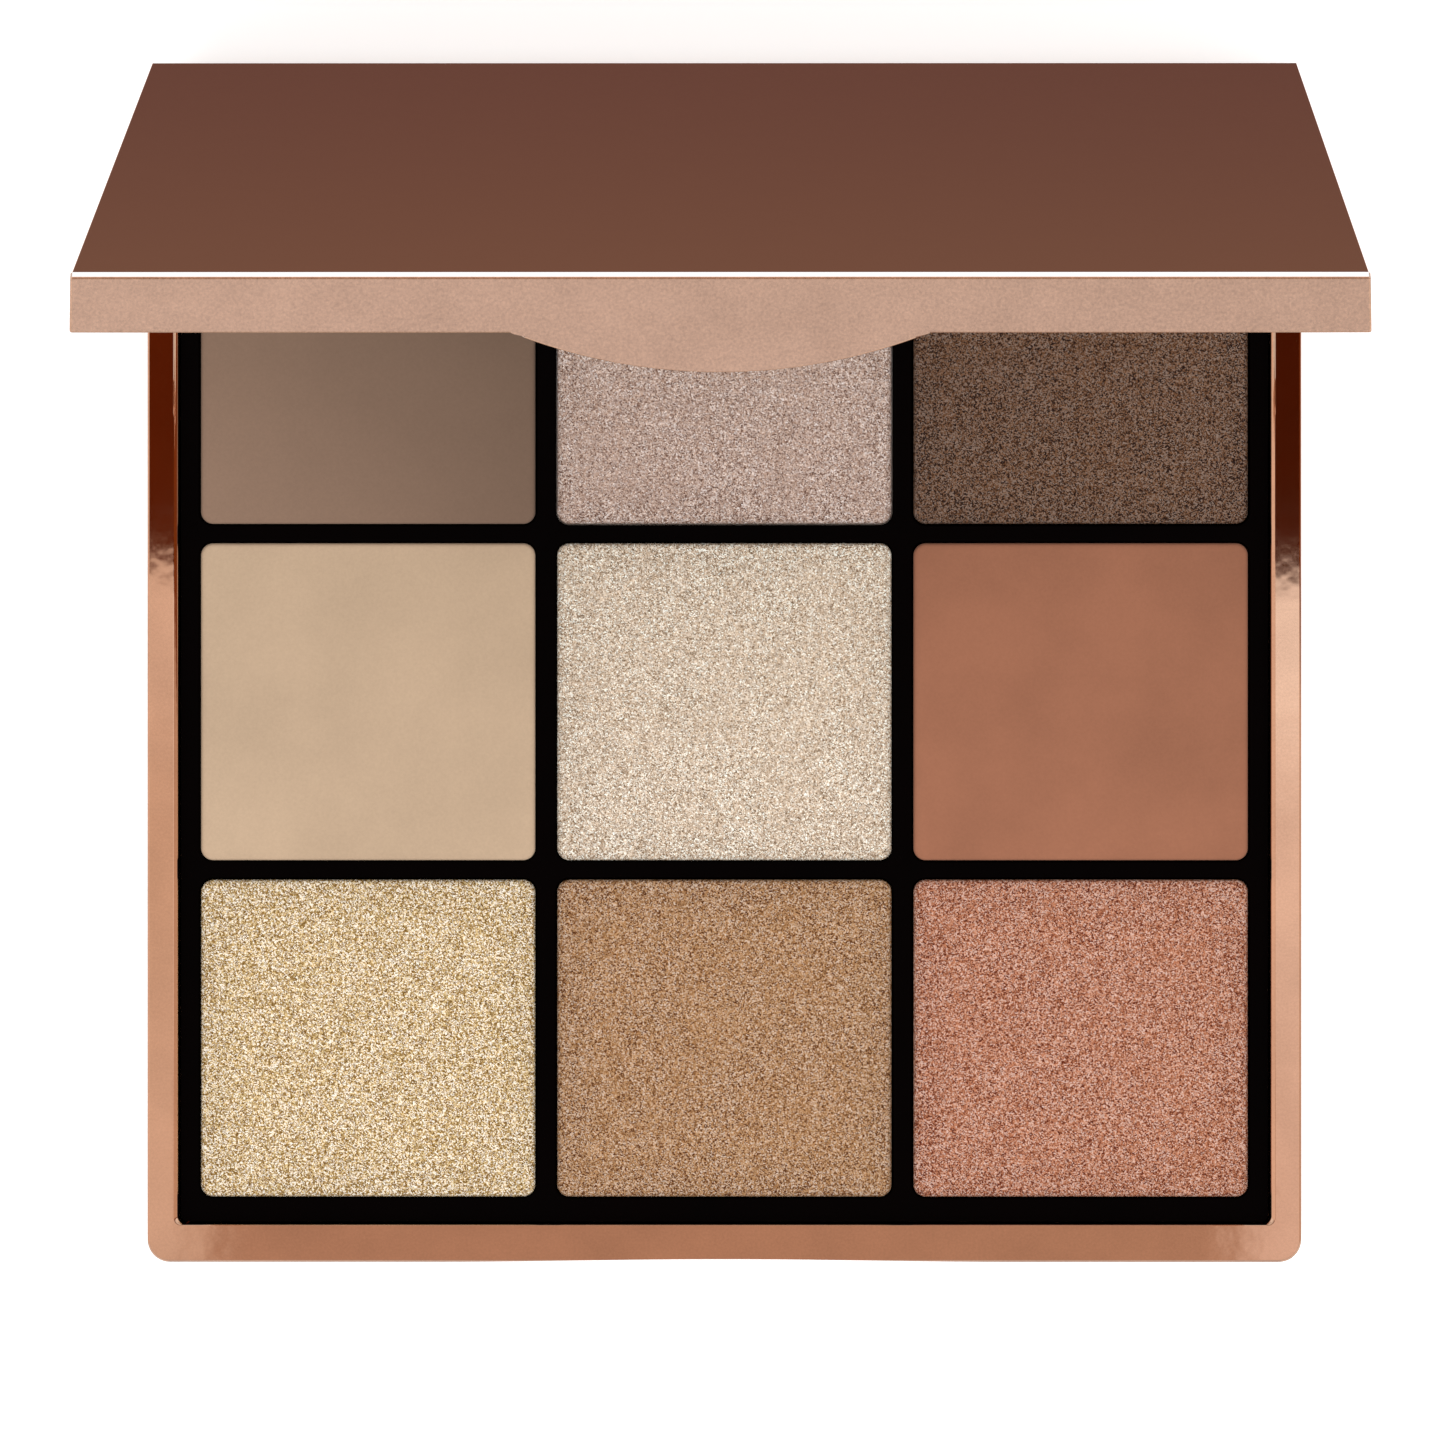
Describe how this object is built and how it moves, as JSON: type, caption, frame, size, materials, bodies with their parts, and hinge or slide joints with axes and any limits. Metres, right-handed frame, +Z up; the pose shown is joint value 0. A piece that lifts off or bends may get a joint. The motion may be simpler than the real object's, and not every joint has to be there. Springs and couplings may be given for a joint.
{
  "type": "eyeshadow palette",
  "caption": "Square flat eyeshadow compact with a grid of pressed powder pans in a rose-gold base and a hinged mirror lid with a curved thumb lip.",
  "frame": {"origin": "middle of the base's flat underside", "axes": "+Z up out of the pans, -Y towards the thumb lip, +Y towards the hinge, +X to the user's right"},
  "size_m": [0.09, 0.0936, 0.0957],
  "materials": {
    "rose_gold": "vacuum-metallised rose gold, bright satin",
    "tray_black": "deep black, satin",
    "tin_plate": "plain rolled",
    "steel": "drawn wire",
    "mirror": "silvered",
    "tape": "foam adhesive",
    "label": "blank satin sticker",
    "shadow_taupe": "matte pressed powder",
    "shadow_pink_silver": "shimmer pressed powder",
    "shadow_dark_brown": "shimmer pressed powder",
    "shadow_cream": "matte pressed powder",
    "shadow_champagne": "shimmer pressed powder",
    "shadow_terracotta": "matte pressed powder",
    "shadow_gold": "coarse glitter pressed powder",
    "shadow_bronze": "shimmer pressed powder",
    "shadow_rose": "shimmer pressed powder"
  },
  "bodies": {
    "base": {"base_shell": "rose_gold", "pan_tray": "tray_black", "glue_dot_back_left": "tape", "pan_back_left": "tin_plate", "shadow_back_left": "shadow_taupe", "glue_dot_back_centre": "tape", "pan_back_centre": "tin_plate", "shadow_back_centre": "shadow_pink_silver", "glue_dot_back_right": "tape", "pan_back_right": "tin_plate", "shadow_back_right": "shadow_dark_brown", "glue_dot_middle_left": "tape", "pan_middle_left": "tin_plate", "shadow_middle_left": "shadow_cream", "glue_dot_middle_centre": "tape", "pan_middle_centre": "tin_plate", "shadow_middle_centre": "shadow_champagne", "glue_dot_middle_right": "tape", "pan_middle_right": "tin_plate", "shadow_middle_right": "shadow_terracotta", "glue_dot_front_left": "tape", "pan_front_left": "tin_plate", "shadow_front_left": "shadow_gold", "glue_dot_front_centre": "tape", "pan_front_centre": "tin_plate", "shadow_front_centre": "shadow_bronze", "glue_dot_front_right": "tape", "pan_front_right": "tin_plate", "shadow_front_right": "shadow_rose", "hinge_pin_left": "steel", "hinge_pin_right": "steel", "underside_label": "label"},
    "lid": {"lid_shell": "rose_gold", "mirror_tape": "tape", "mirror": "mirror"}
  },
  "joints": [
    {"name": "lid_hinge", "type": "hinge", "parent": "base", "child": "lid", "pos_m": [0, 0.04345, 0.0074], "axis": [-1, 0, 0], "range_deg": [-76.9, 53.1]}
  ]
}
